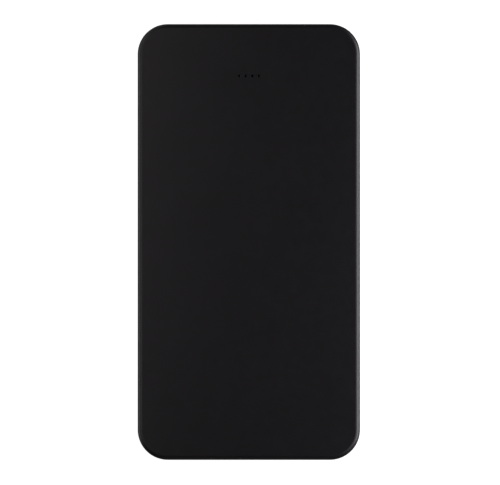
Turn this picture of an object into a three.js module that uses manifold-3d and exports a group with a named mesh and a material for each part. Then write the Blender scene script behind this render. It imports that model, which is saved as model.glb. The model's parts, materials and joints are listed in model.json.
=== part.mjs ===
// Slim 10,000 mAh power bank: two moulded covers joined on a lip around two pouch cells and a
// charging board with two USB-A sockets, one USB-C socket, four charge lights and a side button.
//
// Millimetres. It lies on its back cover: +Z points out of the front face, +Y towards the socket
// end, +X towards the button side. The origin is the centre of the back face.

import * as THREE from "three";
import { mergeVertices } from "three/addons/utils/BufferGeometryUtils.js";
import Module from "manifold-3d";

// ---------------------------------------------------------------- driving dimensions

const CASE = { width: 68, length: 133.3, height: 14, cornerRadius: 9.2, edgeRadius: 1.5 };
const SHELL = { wall: 1.6, plate: 1.5 };
const SEAM = { height: CASE.height / 2, gap: 0.2, lipInset: 0.95, lipHeight: 1, clearance: 0.2 };
const BOARD = { width: 63.2, length: 17.85, thick: 1.2, top: 4.1, frontGap: 0.3, cornerRadius: 7.2 };
const LIGHTS = { count: 4, pitch: 2, fromEnd: 15.9, holeRadius: 0.35 };
const BUTTON = { fromEnd: 14.5, length: 9, height: 3, recess: 0.05 };
const FLANGE = { length: 11.6, height: 5.2, thick: 0.8, wallGap: 0.1 };
const MOUTH_RECESS = 0.4; // each socket's mouth lies this far inside the end face
const USB_A = { offsetX: 17, width: 13.1, height: 5.7, depth: 14, sheet: 0.3 };
const USB_C = { width: 8.94, height: 3.26, depth: 7.35, sheet: 0.3 };
const CELL = { width: 60, length: 108.7, thick: 4.75, terrace: 4, backEnd: -63.2 };
const SCREW = { x: 27.6, y: 60, shankRadius: 0.95, headRadius: 1.9, length: 3 };

const CORNER_SEGMENTS = 5;
const EDGE_SEGMENTS = 4;
const SLIP = 0.05; // air left between parts that only touch

// Places that follow from them.
const HALF = { x: CASE.width / 2, y: CASE.length / 2 };
const CAVITY = {
  x: HALF.x - SHELL.wall,
  y: HALF.y - SHELL.wall,
  low: SHELL.plate,
  high: CASE.height - SHELL.plate,
};
const MOUTH_Y = HALF.y - MOUTH_RECESS;
const BUTTON_Y = HALF.y - BUTTON.fromEnd;
const LIGHT_Y = HALF.y - LIGHTS.fromEnd;
const BOARD_FRONT = CAVITY.y - BOARD.frontGap;
const BOARD_BACK = BOARD_FRONT - BOARD.length;
const LIGHT_XS = Array.from({ length: LIGHTS.count }, (_, i) => (i - (LIGHTS.count - 1) / 2) * LIGHTS.pitch);
const SIDES = [["left", -1], ["right", 1]];

// ---------------------------------------------------------------- materials

const finish = (color, roughness, metalness = 0) =>
  new THREE.MeshStandardMaterial({ color, roughness, metalness });

const CASE_PLASTIC = finish(0x1b1a1c, 0.5);
const BUTTON_PLASTIC = finish(0x171718, 0.45);
const STEEL = finish(0xb9bcc0, 0.3, 1);
const GOLD = finish(0xd8b25a, 0.3, 1);
const NICKEL = finish(0xc4c2ba, 0.4, 1);
const WHITE_PLASTIC = finish(0xe9e8e2, 0.5);
const BLACK_PLASTIC = finish(0x141415, 0.6);
const SOLDER_MASK = finish(0x12402a, 0.45);
const POUCH_FOIL = finish(0xb4b6b8, 0.35, 0.9);
const FERRITE = finish(0x3a3b3d, 0.7);
const CERAMIC = finish(0xa58a66, 0.5);
const CLEAR_PLASTIC = finish(0xdfe5ea, 0.15);
const FOAM = finish(0x2a2a2c, 0.95);
const ADHESIVE = finish(0xe8e4d8, 0.7);

// ---------------------------------------------------------------- solids

const wasm = await Module();
wasm.setup();

// A closed three.js geometry as a manifold-3d solid.
function solidFrom(geometry) {
  const bare = geometry.clone();
  bare.deleteAttribute("normal");
  bare.deleteAttribute("uv");
  const merged = mergeVertices(bare, 1e-4);
  const vertProperties = merged.attributes.position.array;
  const triVerts = new Uint32Array(merged.index.array);
  return new wasm.Manifold(new wasm.Mesh({ numProp: 3, vertProperties, triVerts }));
}

function geometryFrom(solid) {
  const { vertProperties, triVerts } = solid.getMesh();
  const geometry = new THREE.BufferGeometry();
  geometry.setAttribute("position", new THREE.BufferAttribute(vertProperties, 3));
  geometry.setIndex(new THREE.BufferAttribute(triVerts, 1));
  geometry.computeVertexNormals();
  return geometry;
}

function part(name, solid, material) {
  const mesh = new THREE.Mesh(geometryFrom(solid), material);
  mesh.name = name;
  return mesh;
}

function groupAt(x, y, z, ...children) {
  const group = new THREE.Group();
  group.position.set(x, y, z);
  group.add(...children);
  return group;
}

// A box between two values on each axis.
function block([x0, x1], [y0, y1], [z0, z1]) {
  const geometry = new THREE.BoxGeometry(x1 - x0, y1 - y0, z1 - z0);
  return solidFrom(geometry.translate((x0 + x1) / 2, (y0 + y1) / 2, (z0 + z1) / 2));
}

function rectangle(width, height, radius, x = 0, y = 0) {
  const [w, h] = [width / 2 - radius, height / 2 - radius];
  const shape = new THREE.Shape();
  shape.absarc(x + w, y + h, radius, 0, 0.5 * Math.PI);
  shape.absarc(x - w, y + h, radius, 0.5 * Math.PI, Math.PI);
  shape.absarc(x - w, y - h, radius, Math.PI, 1.5 * Math.PI);
  shape.absarc(x + w, y - h, radius, 1.5 * Math.PI, 2 * Math.PI);
  return shape;
}

// A slot outline with round ends, longer along its first axis.
function stadium(width, height) {
  const radius = height / 2;
  const shape = new THREE.Shape();
  shape.absarc(width / 2 - radius, 0, radius, -0.5 * Math.PI, 0.5 * Math.PI);
  shape.absarc(radius - width / 2, 0, radius, 0.5 * Math.PI, 1.5 * Math.PI);
  return shape;
}

function polygon(points) {
  return new THREE.Shape(points.map(([x, y]) => new THREE.Vector2(x, y)));
}

function extruded(shape, depth, curveSegments) {
  return new THREE.ExtrudeGeometry(shape, { depth, bevelEnabled: false, curveSegments });
}

function prism(shape, low, high, curveSegments = CORNER_SEGMENTS) {
  return solidFrom(extruded(shape, high - low, curveSegments).translate(0, 0, low));
}

// The outline's first axis lies along X and its second along Z.
const ALONG_Y = new THREE.Matrix4().makeBasis(
  new THREE.Vector3(1, 0, 0), new THREE.Vector3(0, 0, 1), new THREE.Vector3(0, -1, 0));
// The outline's first axis lies along Y and its second along Z.
const ALONG_X = new THREE.Matrix4().makeBasis(
  new THREE.Vector3(0, 1, 0), new THREE.Vector3(0, 0, 1), new THREE.Vector3(1, 0, 0));

function prismAlongY(shape, low, high, curveSegments = 3) {
  const geometry = extruded(shape, high - low, curveSegments).applyMatrix4(ALONG_Y);
  return solidFrom(geometry.translate(0, high, 0));
}

function prismAlongX(shape, low, high, curveSegments = 3) {
  const geometry = extruded(shape, high - low, curveSegments).applyMatrix4(ALONG_X);
  return solidFrom(geometry.translate(low, 0, 0));
}

// A slab whose top and bottom edges are rounded by size.
function pillow(shape, low, high, size, segments, curveSegments = 3) {
  const geometry = new THREE.ExtrudeGeometry(shape, {
    depth: high - low - 2 * size,
    bevelThickness: size,
    bevelSize: size,
    bevelOffset: -size,
    bevelSegments: segments,
    curveSegments,
  });
  return solidFrom(geometry.translate(0, 0, low + size));
}

function cylinder(radius, x, y, low, high, sides = 16) {
  const geometry = new THREE.CylinderGeometry(radius, radius, high - low, sides).rotateX(Math.PI / 2);
  return solidFrom(geometry.translate(x, y, (low + high) / 2));
}

// A turned solid about Z from [radius, height] points that start and end on the axis.
function turned(points, segments) {
  const profile = points.map(([radius, height]) => new THREE.Vector2(radius, height));
  return solidFrom(new THREE.LatheGeometry(profile, segments).rotateX(Math.PI / 2));
}

function wire(points, radius) {
  const path = new THREE.CatmullRomCurve3(points.map((p) => new THREE.Vector3(...p)));
  const section = new THREE.Shape().absarc(0, 0, radius, 0, 2 * Math.PI);
  const steps = 4 * (points.length - 1);
  return solidFrom(new THREE.ExtrudeGeometry(section, { extrudePath: path, steps, curveSegments: 4 }));
}

const join = (solids) => solids.reduce((whole, next) => whole.add(next));

// ---------------------------------------------------------------- covers

// The plan outline of the case moved in by inset, between two heights.
function planSlab(inset, low, high) {
  const [width, length] = [CASE.width - 2 * inset, CASE.length - 2 * inset];
  return prism(rectangle(width, length, CASE.cornerRadius - inset), low, high);
}

function caseEnvelope() {
  const outline = rectangle(CASE.width, CASE.length, CASE.cornerRadius);
  return pillow(outline, 0, CASE.height, CASE.edgeRadius, EDGE_SEGMENTS, CORNER_SEGMENTS);
}

// The holes through the end wall for the sockets and through the side wall for the button.
function wallOpenings() {
  const clear = 0.25;
  const [inside, outside] = [CAVITY.y - 1, HALF.y + 1];
  const usbA = rectangle(USB_A.width + 2 * clear, USB_A.height + 2 * clear, 0.6);
  const usbC = stadium(USB_C.width + 2 * clear, USB_C.height + 2 * clear);
  const button = stadium(BUTTON.length + 0.4, BUTTON.height + 0.4);
  return join([
    ...SIDES.map(([, side]) => prismAlongY(usbA, inside, outside).translate(side * USB_A.offsetX, 0, 0)),
    prismAlongY(usbC, inside, outside, 5),
    prismAlongX(button, CAVITY.x - 1, HALF.x + 1, 5).translate(0, BUTTON_Y, 0),
  ]).translate(0, 0, SEAM.height);
}

// The four pin holes, and the pocket behind them that holds the light guide's flange.
const GUIDE_POCKET = { width: 9.6, length: 3.4, depth: 0.7 };
function lightOpenings() {
  const [inside, outside] = [CAVITY.high - 1, CASE.height + 1];
  const holes = LIGHT_XS.map((x) => cylinder(LIGHTS.holeRadius, x, LIGHT_Y, inside, outside));
  const pocket = rectangle(GUIDE_POCKET.width, GUIDE_POCKET.length, 0.5, 0, LIGHT_Y);
  return join(holes).add(prism(pocket, inside, CAVITY.high + GUIDE_POCKET.depth, 2));
}

function frontCover() {
  const rim = SEAM.height + SEAM.gap / 2;
  const rebateInset = SEAM.lipInset - SEAM.clearance;
  const socketRibs = SIDES.map(([, side]) => {
    const x = side * USB_A.offsetX;
    return block([x - 6, x + 6], [57.5, 58.7], [SEAM.height + USB_A.height / 2 + 0.1, CAVITY.high + 0.5]);
  });
  return caseEnvelope()
    .subtract(block([-CASE.width, CASE.width], [-CASE.length, CASE.length], [-1, rim]))
    .subtract(planSlab(SHELL.wall, rim - 1, CAVITY.high))
    .subtract(planSlab(rebateInset, rim - 1, SEAM.height + SEAM.lipHeight + SEAM.clearance))
    .add(join(socketRibs))
    .subtract(wallOpenings())
    .subtract(lightOpenings());
}

const CELL_RIB_YS = [-50, -20, 10, 35];
function backCover() {
  const rim = SEAM.height - SEAM.gap / 2;
  const underBoard = BOARD.top - BOARD.thick - SLIP;
  const floor = SHELL.plate - 0.1;
  const lip = planSlab(SEAM.lipInset, rim - 1, SEAM.height + SEAM.lipHeight)
    .subtract(planSlab(SHELL.wall, rim - 2, CASE.height));
  const bosses = SIDES.map(([, side]) => cylinder(2.3, side * SCREW.x, SCREW.y, floor, underBoard, 20));
  const pilots = SIDES.map(([, side]) => cylinder(1.05, side * SCREW.x, SCREW.y, SHELL.plate - 0.7, 4));
  const ledge = block([-28, 28], [BOARD_BACK + 0.4, BOARD_BACK + 1.4], [floor, underBoard]);
  const cellEdge = CELL.width / 2 + 0.2;
  const cellRibs = CELL_RIB_YS.flatMap((y) => SIDES.map(([, side]) => {
    const [near, far] = [side * cellEdge, side * (CAVITY.x + 0.1)];
    return block([Math.min(near, far), Math.max(near, far)], [y - 0.6, y + 0.6], [floor, rim - 1.5]);
  }));
  return caseEnvelope()
    .subtract(block([-CASE.width, CASE.width], [-CASE.length, CASE.length], [rim, CASE.height + 1]))
    .subtract(planSlab(SHELL.wall, SHELL.plate, CASE.height))
    .add(join([lip, ledge, ...bosses, ...cellRibs]))
    .subtract(join(pilots))
    .subtract(wallOpenings());
}

// ---------------------------------------------------------------- button and its switch

// Placed at the side wall's outer face, on the seam. The flange keeps the cap from falling out.
const FLANGE_OUTER = -(SHELL.wall + FLANGE.wallGap);
const FLANGE_INNER = FLANGE_OUTER - FLANGE.thick;
function powerButton() {
  const cap = prismAlongX(stadium(BUTTON.length, BUTTON.height), FLANGE_OUTER - 0.1, -BUTTON.recess, 5);
  const flange = prismAlongX(rectangle(FLANGE.length, FLANGE.height, 0.8), FLANGE_INNER, FLANGE_OUTER);
  return cap.add(flange);
}

// The tactile switch stands on the board; its plunger rests against the button's flange.
const SWITCH = { depth: 3.5, length: 6, height: 4.8, face: -4, plungerLength: 3, plungerHeight: 1.5 };
function switchBody() {
  const [low, high] = [BOARD.top + SLIP, BOARD.top + SWITCH.height];
  const body = block(
    [SWITCH.face - SWITCH.depth, SWITCH.face],
    [-SWITCH.length / 2, SWITCH.length / 2],
    [low - SEAM.height, high - SEAM.height],
  );
  const clear = 0.15;
  const well = rectangle(SWITCH.plungerLength + 2 * clear, SWITCH.plungerHeight + 2 * clear, 0.3);
  return body.subtract(prismAlongX(well, SWITCH.face - 1.4, SWITCH.face + 1, 2));
}

function switchPlunger() {
  const outline = rectangle(SWITCH.plungerLength, SWITCH.plungerHeight, 0.3);
  return prismAlongX(outline, SWITCH.face - 0.6, FLANGE_INNER - SLIP, 2);
}

const buttonGroup = groupAt(HALF.x, BUTTON_Y, SEAM.height,
  part("power_button", powerButton(), BUTTON_PLASTIC),
  part("switch_plunger", switchPlunger(), BLACK_PLASTIC),
  part("switch_body", switchBody(), BLACK_PLASTIC),
);

// ---------------------------------------------------------------- USB-A sockets

// Both kinds of socket have their origin at the middle of the mouth, with +Y out of it.
const BOARD_BELOW_SOCKET = BOARD.top - SEAM.height;
const LEG_TIP = BOARD_BELOW_SOCKET - BOARD.thick - 0.9;
const USB_A_LEG_YS = [-4, -11];
const USB_C_LEG_YS = [-3, -6];

// Solder legs of the socket's folded shell, down through slots in the board.
function legs(halfWidth, ys, top) {
  return ys.flatMap((y) => [
    block([-halfWidth, 0.3 - halfWidth], [y - 0.8, y + 0.8], [LEG_TIP, top]),
    block([halfWidth - 0.3, halfWidth], [y - 0.8, y + 0.8], [LEG_TIP, top]),
  ]);
}

function usbAShell() {
  const { width, height, depth, sheet } = USB_A;
  const outside = prismAlongY(rectangle(width, height, 0.6), -depth, 0);
  const inside = prismAlongY(rectangle(width - 2 * sheet, height - 2 * sheet, 0.3), sheet - depth, 1);
  return outside.add(join(legs(width / 2, USB_A_LEG_YS, 0))).subtract(inside);
}

const TONGUE_A = { width: 11.1, top: 1.87, thick: 1.84, tip: -1.1, root: -9.5 };
function usbAInsulator() {
  const { width, height, depth, sheet } = USB_A;
  const [halfWidth, halfHeight] = [width / 2 - sheet - 0.1, height / 2 - sheet - 0.1];
  const rearY = [sheet + 0.1 - depth, TONGUE_A.root];
  const rear = block([-halfWidth, halfWidth], rearY, [-halfHeight, halfHeight]);
  const tongue = polygon([
    [TONGUE_A.root - 0.1, TONGUE_A.top - TONGUE_A.thick],
    [TONGUE_A.tip - 0.5, TONGUE_A.top - TONGUE_A.thick],
    [TONGUE_A.tip, TONGUE_A.top - TONGUE_A.thick + 0.5],
    [TONGUE_A.tip, TONGUE_A.top - 0.3],
    [TONGUE_A.tip - 0.3, TONGUE_A.top],
    [TONGUE_A.root - 0.1, TONGUE_A.top],
  ]);
  return rear.add(prismAlongX(tongue, -TONGUE_A.width / 2, TONGUE_A.width / 2));
}

// Four spring contacts under the tongue. The two outer ones, for power, reach further forward.
const CONTACTS_A = [[-3.5, -1.9], [-1, -2.9], [1, -2.9], [3.5, -1.9]];
function usbAContact([x, tip]) {
  const underTongue = TONGUE_A.top - TONGUE_A.thick - SLIP;
  const [crest, thick] = [tip - 1.2, 0.2];
  const strip = polygon([
    [TONGUE_A.root + SLIP, underTongue],
    [TONGUE_A.root + SLIP, underTongue - thick],
    [crest - 1.4, underTongue - thick],
    [crest, underTongue - 0.55],
    [tip, underTongue - thick],
    [tip, underTongue],
    [crest, underTongue - 0.35],
    [crest - 1.4, underTongue],
  ]);
  return prismAlongX(strip, x - 0.5, x + 0.5);
}

function usbASocket(side, direction) {
  const name = (piece) => "usb_a_" + side + "_" + piece;
  return groupAt(direction * USB_A.offsetX, MOUTH_Y, SEAM.height,
    part(name("shell"), usbAShell(), STEEL),
    part(name("insulator"), usbAInsulator(), WHITE_PLASTIC),
    ...CONTACTS_A.map((place, i) => part(name("contact_" + (i + 1)), usbAContact(place), GOLD)),
  );
}

// ---------------------------------------------------------------- USB-C socket

function usbCShell() {
  const { width, height, depth, sheet } = USB_C;
  const outside = prismAlongY(stadium(width, height), -depth, 0, 5);
  const inside = prismAlongY(stadium(width - 2 * sheet, height - 2 * sheet), sheet - depth, 1, 5);
  return outside.add(join(legs(width / 2, USB_C_LEG_YS, 0))).subtract(inside);
}

function usbCInsulator() {
  const { width, height, depth, sheet } = USB_C;
  const shrink = 2 * (sheet + 0.1);
  const rear = prismAlongY(stadium(width - shrink, height - shrink), sheet + 0.1 - depth, -5, 5);
  return rear.add(prismAlongY(rectangle(6.69, 0.7, 0.2), -5.1, -1, 2));
}

// The block that lifts the socket to the height of its neighbours.
function usbCRiser() {
  const low = BOARD_BELOW_SOCKET + SLIP;
  return block([-3.9, 3.9], [-USB_C.depth, -1.5], [low, -USB_C.height / 2 - SLIP]);
}

const usbC = groupAt(0, MOUTH_Y, SEAM.height,
  part("usb_c_shell", usbCShell(), STEEL),
  part("usb_c_insulator", usbCInsulator(), BLACK_PLASTIC),
  part("usb_c_riser", usbCRiser(), BLACK_PLASTIC),
);

// ---------------------------------------------------------------- board and what is soldered to it

// The board group's origin is on the board's top face, under the middle of the case.
function circuitBoard() {
  const back = BOARD_BACK;
  const outline = rectangle(BOARD.width, 2 * BOARD_FRONT, BOARD.cornerRadius);
  const slot = (x, y, width) => block([x - width / 2, x + width / 2], [y - 1.1, y + 1.1], [-3, 1]);
  const slotsFor = (middle, halfWidth, ys, width) =>
    ys.flatMap((y) => [-1, 1].map((end) => slot(middle + end * (halfWidth - 0.15), MOUTH_Y + y, width)));
  return prism(outline, -BOARD.thick, 0)
    .subtract(block([-40, 40], [-80, back], [-3, 1]))
    .subtract(join([
      ...SIDES.flatMap(([, side]) => slotsFor(side * USB_A.offsetX, USB_A.width / 2, USB_A_LEG_YS, 0.9)),
      ...slotsFor(0, USB_C.width / 2, USB_C_LEG_YS, 0.9),
      ...SIDES.map(([, side]) => cylinder(1.2, side * SCREW.x, SCREW.y, -3, 1)),
    ]));
}

function boardScrew() {
  const { shankRadius, headRadius, length } = SCREW;
  const body = turned([
    [0, -length], [0.5, -length], [shankRadius, 0.6 - length], [shankRadius, 0],
    [headRadius, 0], [headRadius, 0.6], [1.2, 1.15], [0, 1.25],
  ], 20);
  const recess = block([-1, 1], [-0.22, 0.22], [0.6, 2]).add(block([-0.22, 0.22], [-1, 1], [0.6, 2]));
  return body.subtract(recess).translate(0, 0, SLIP);
}

// A chip package with a slightly smaller top and a row of legs down its two long sides.
function chip(width, length, height, legCount) {
  const body = pillow(rectangle(width, length, 0.2), 0.1, height, 0.15, 1, 1);
  const pitch = length / legCount;
  const feet = Array.from({ length: legCount }, (_, i) => {
    const y = (i + 0.5) * pitch - length / 2;
    return block([-width / 2 - 0.6, width / 2 + 0.6], [y - pitch / 5, y + pitch / 5], [0, 0.2]);
  });
  return join([body, ...feet]).translate(0, 0, SLIP);
}

// A ceramic capacitor with its two soldered end caps.
function capacitor() {
  const body = block([-0.75, 0.75], [-1.5, 1.5], [0.05, 1.45]);
  const caps = [[-1.6, -1.1], [1.1, 1.6]].map((y) => block([-0.8, 0.8], y, [0, 1.5]));
  return join([body, ...caps]).translate(0, 0, SLIP);
}

function inductor() {
  const core = pillow(rectangle(6.6, 6.6, 1), 0.15, 3, 0.3, 1, 1);
  const terminals = [[-3.5, -2.6], [2.6, 3.5]].map((y) => block([-1.5, 1.5], y, [0, 0.6]));
  return join([core, ...terminals]).translate(0, 0, SLIP);
}

function chargeLight() {
  const base = block([-0.4, 0.4], [-0.8, 0.8], [0, 0.25]);
  return base.add(block([-0.38, 0.38], [-0.5, 0.5], [0.2, 0.55])).translate(0, 0, SLIP);
}

// A black block with one square shaft over each light, so that no light reaches the next hole.
const SHIELD_TOP = CAVITY.high - 0.3 - BOARD.top;
function lightShield() {
  const walls = prism(rectangle(9.4, 3, 0.3), SLIP, SHIELD_TOP, 2);
  const shafts = LIGHT_XS.map((x) => block([x - 0.65, x + 0.65], [-1.1, 1.1], [-1, SHIELD_TOP + 1]));
  return walls.subtract(join(shafts));
}

// One clear moulding: a column down each shaft, a flange in the cover's pocket and four pins.
function lightGuide() {
  const flangeLow = SHIELD_TOP + 0.1;
  const flangeHigh = flangeLow + 0.7;
  const pinTop = CASE.height - 0.35 - BOARD.top;
  const flange = prism(rectangle(9.2, 3, 0.4), flangeLow, flangeHigh, 2);
  const columns = LIGHT_XS.map((x) => block([x - 0.45, x + 0.45], [-0.8, 0.8], [0.8, flangeLow + 0.1]));
  const pins = LIGHT_XS.map((x) => cylinder(0.25, x, 0, flangeHigh - 0.1, pinTop, 12));
  return join([flange, ...columns, ...pins]);
}

// The bead that feels the cells' temperature, with its two leads running to the board.
function thermistor() {
  const bead = new THREE.SphereGeometry(1, 12, 8).scale(1, 1.4, 1).translate(0, -3.8, 1.8);
  const route = [[-3.2, 1.8], [-1.6, 1.6], [-0.4, 0.5], [0.7, 0.35], [1.6, 0.35]];
  const leads = [-0.35, 0.35].map((x) => wire(route.map(([y, z]) => [x, y, z]), 0.22));
  return join([solidFrom(bead), ...leads]);
}

const at = (x, y, mesh) => {
  mesh.position.set(x, y, 0);
  return mesh;
};

const pair = (name, x, y, make, material) =>
  SIDES.map(([side, direction]) => at(direction * x, y, part(name + "_" + side, make(), material)));

const board = groupAt(0, 0, BOARD.top,
  part("circuit_board", circuitBoard(), SOLDER_MASK),
  ...pair("board_screw", SCREW.x, SCREW.y, boardScrew, STEEL),
  at(0, 55.6, part("controller_chip", chip(4.2, 4.6, 0.95, 6), BLACK_PLASTIC)),
  ...pair("power_transistor", 6.6, 55.6, () => chip(3.9, 5, 1.5, 4), BLACK_PLASTIC),
  ...pair("output_capacitor", 7.3, 61.5, capacitor, CERAMIC),
  ...pair("input_capacitor", 6.6, 50.5, capacitor, CERAMIC),
  at(-27.4, 51.4, part("power_inductor", inductor(), FERRITE)),
  ...LIGHT_XS.map((x, i) => at(x, LIGHT_Y, part("charge_light_" + (i + 1), chargeLight(), WHITE_PLASTIC))),
  at(0, LIGHT_Y, part("light_shield", lightShield(), BLACK_PLASTIC)),
  at(0, LIGHT_Y, part("light_guide", lightGuide(), CLEAR_PLASTIC)),
  at(-15, BOARD_BACK, part("thermistor", thermistor(), BLACK_PLASTIC)),
);

// ---------------------------------------------------------------- cells and padding

const CELL_FRONT = CELL.backEnd + CELL.length;
const LOWER_CELL_Z = 2.1;
const UPPER_CELL_Z = LOWER_CELL_Z + CELL.thick + 0.3;

// A pouch with a thin sealed terrace at its front end, where the tabs come out.
function pouchCell() {
  const bodyLength = CELL.length - CELL.terrace;
  const middle = CELL.backEnd + bodyLength / 2;
  const body = pillow(rectangle(CELL.width, bodyLength, 1.6, 0, middle), 0, CELL.thick, 0.9, 2);
  const halfWidth = CELL.width / 2 - 1;
  const seal = [CELL.thick / 2 - 0.2, CELL.thick / 2 + 0.2];
  return body.add(block([-halfWidth, halfWidth], [CELL_FRONT - CELL.terrace - 1, CELL_FRONT], seal));
}

// A bent metal strip: its centre line in Y and Z is given a thickness, and a width along X.
function strip(line, thick, width) {
  const points = line.map(([y, z]) => new THREE.Vector2(y, z));
  const headings = points.slice(1).map((point, i) => point.clone().sub(points[i]).normalize());
  const edge = (side) => points.map((point, i) => {
    const before = headings[Math.max(i - 1, 0)];
    const after = headings[Math.min(i, headings.length - 1)];
    const along = before.clone().add(after).normalize();
    const reach = (side * thick) / 2 / along.dot(after);
    return [point.x - along.y * reach, point.y + along.x * reach];
  });
  return prismAlongX(polygon([...edge(-1), ...edge(1).reverse()]), -width / 2, width / 2);
}

const TAB = { thick: 0.15, width: 5, padZ: BOARD.top + 0.15, end: BOARD_BACK + 2.6 };
const TAB_START = CELL_FRONT + SLIP;
const LOWER_TAB = [
  [TAB_START, LOWER_CELL_Z + CELL.thick / 2], [TAB_START + 0.7, LOWER_CELL_Z + CELL.thick / 2],
  [TAB_START + 1.3, TAB.padZ], [TAB.end, TAB.padZ],
];
const UPPER_TAB = [
  [TAB_START, UPPER_CELL_Z + CELL.thick / 2], [TAB_START + 0.5, UPPER_CELL_Z + CELL.thick / 2],
  [TAB_START + 0.9, UPPER_CELL_Z + CELL.thick / 2 - 0.5], [TAB_START + 0.9, TAB.padZ + 0.8],
  [TAB_START + 1.7, TAB.padZ], [TAB.end, TAB.padZ],
];

function tab(name, line, x) {
  return at(x, 0, part(name, strip(line, TAB.thick, TAB.width), NICKEL));
}

// A soft layer between two heights, centred on the cells' bodies.
function layer(name, width, length, low, high, material) {
  const y = CELL.backEnd + (CELL.length - CELL.terrace) / 2;
  return part(name, block([-width / 2, width / 2], [y - length / 2, y + length / 2], [low, high]), material);
}

const cells = groupAt(0, 0, 0,
  groupAt(0, 0, LOWER_CELL_Z, part("cell_lower", pouchCell(), POUCH_FOIL)),
  groupAt(0, 0, UPPER_CELL_Z, part("cell_upper", pouchCell(), POUCH_FOIL)),
  tab("tab_lower_negative", LOWER_TAB, -11),
  tab("tab_lower_positive", LOWER_TAB, 11),
  tab("tab_upper_negative", UPPER_TAB, -19),
  tab("tab_upper_positive", UPPER_TAB, 19),
  layer("foam_pad_back", 48, 87, CAVITY.low + SLIP, LOWER_CELL_Z - SLIP, FOAM),
  layer("cell_bonding_tape", 40, 82, UPPER_CELL_Z - 0.25, UPPER_CELL_Z - SLIP, ADHESIVE),
  layer("foam_pad_front", 48, 87, UPPER_CELL_Z + CELL.thick + SLIP, CAVITY.high - SLIP, FOAM),
);

// ---------------------------------------------------------------- assembly

const powerBank = new THREE.Group();
powerBank.add(
  part("front_cover", frontCover(), CASE_PLASTIC),
  part("back_cover", backCover(), CASE_PLASTIC),
  buttonGroup,
  ...SIDES.map(([side, direction]) => usbASocket(side, direction)),
  usbC,
  board,
  cells,
);

export default powerBank;
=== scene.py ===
"""Looks of a slim black power bank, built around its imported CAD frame.

Metres, in the frame's own axes: it lies on its back, +Z out of the front face, +Y towards the sockets,
+X towards the button. Every fine piece takes its place and size from the CAD node that it stands for.
"""

import json
import math

import bmesh
import bpy
import numpy as np
from mathutils import Matrix, Vector


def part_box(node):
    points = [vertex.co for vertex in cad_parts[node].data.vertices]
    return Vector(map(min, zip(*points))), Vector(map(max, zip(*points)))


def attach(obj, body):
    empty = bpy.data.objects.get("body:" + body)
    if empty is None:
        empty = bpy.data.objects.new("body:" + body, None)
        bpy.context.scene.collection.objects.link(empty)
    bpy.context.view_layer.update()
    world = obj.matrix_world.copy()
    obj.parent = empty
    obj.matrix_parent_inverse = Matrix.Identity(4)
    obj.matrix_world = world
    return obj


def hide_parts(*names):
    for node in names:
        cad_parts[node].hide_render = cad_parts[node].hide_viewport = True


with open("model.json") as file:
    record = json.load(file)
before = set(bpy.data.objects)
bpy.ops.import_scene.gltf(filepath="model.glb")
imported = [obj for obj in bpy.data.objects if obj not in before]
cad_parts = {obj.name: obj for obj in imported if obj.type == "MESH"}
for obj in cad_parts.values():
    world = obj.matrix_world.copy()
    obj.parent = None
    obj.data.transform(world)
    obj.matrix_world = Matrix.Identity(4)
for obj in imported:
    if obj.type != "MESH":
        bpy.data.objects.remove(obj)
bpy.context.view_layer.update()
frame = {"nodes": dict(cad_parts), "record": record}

# ---------------------------------------------------------------- sizes

MM = 0.001

# Radii, walls and openings of the moulding. Places and overall sizes are read from the frame.
CORNER = 9.2 * MM
EDGE = 1.5 * MM
WALL = 1.6 * MM
PLATE = 1.5 * MM
SEAM_BEVEL = 0.12 * MM
ARC_STEPS = 20  # in each corner of the case's outline
EDGE_STEPS = 9  # round the long edges of a cover
BUTTON_LENGTH = 9 * MM
BUTTON_HEIGHT = 3 * MM
PIN_HOLE = 0.42 * MM  # radius of a light's hole
PIN = 0.25 * MM  # radius of the light guide's pin in it
SHEET = 0.3 * MM  # steel of the sockets' shells
HALF_TONGUE_C = 0.35 * MM  # half the thickness of the tongue in the USB-C socket
FINE_EDGE = 0.05 * MM  # bevel of ribs, legs and other small edges

HALF_X, HALF_Y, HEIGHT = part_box("front_cover")[1]
FRONT_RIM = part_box("front_cover")[0].z
BACK_RIM = HEIGHT - FRONT_RIM
LIP_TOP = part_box("back_cover")[1].z
AXIS_Z = HEIGHT / 2  # the height of the seam, the sockets and the button

BODIES = frame["record"]["behaviour"]["bodies"]
NODE_BODY = {node: body for body, nodes in BODIES.items() for node in nodes}
SIDES = ("left", "right")

# Local axes for what is built on a wall, each with the directions of its local x, y and z.
INTO_END = Matrix(((1, 0, 0, 0), (0, 0, -1, 0), (0, 1, 0, 0), (0, 0, 0, 1)))  # X, Z, and in from +Y
OUT_OF_SIDE = Matrix(((0, 0, 1, 0), (1, 0, 0, 0), (0, 1, 0, 0), (0, 0, 0, 1)))  # Y, Z, and out to +X


def centre(node):
    low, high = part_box(node)
    return (low + high) / 2


def half_size(node):
    low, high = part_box(node)
    return (high - low) / 2


# ---------------------------------------------------------------- mesh tools


def outline(half_x, half_y, radius, steps=ARC_STEPS):
    """Points round a rectangle with rounded corners."""
    quarter = np.linspace(0, math.pi / 2, steps + 1)
    corners = []
    for turn, (side_x, side_y) in enumerate(((1, 1), (-1, 1), (-1, -1), (1, -1))):
        angle = quarter + turn * math.pi / 2
        x = side_x * (half_x - radius) + radius * np.cos(angle)
        y = side_y * (half_y - radius) + radius * np.sin(angle)
        corners.append(np.stack([x, y], 1))
    return np.concatenate(corners)


def inset_outline(half_x, half_y, radius, steps=ARC_STEPS):
    """The same rectangle's outline as a function of how far it is moved in."""
    def at(inset):
        return outline(half_x - inset, half_y - inset, max(radius - inset, 0), steps)
    return at


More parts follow.
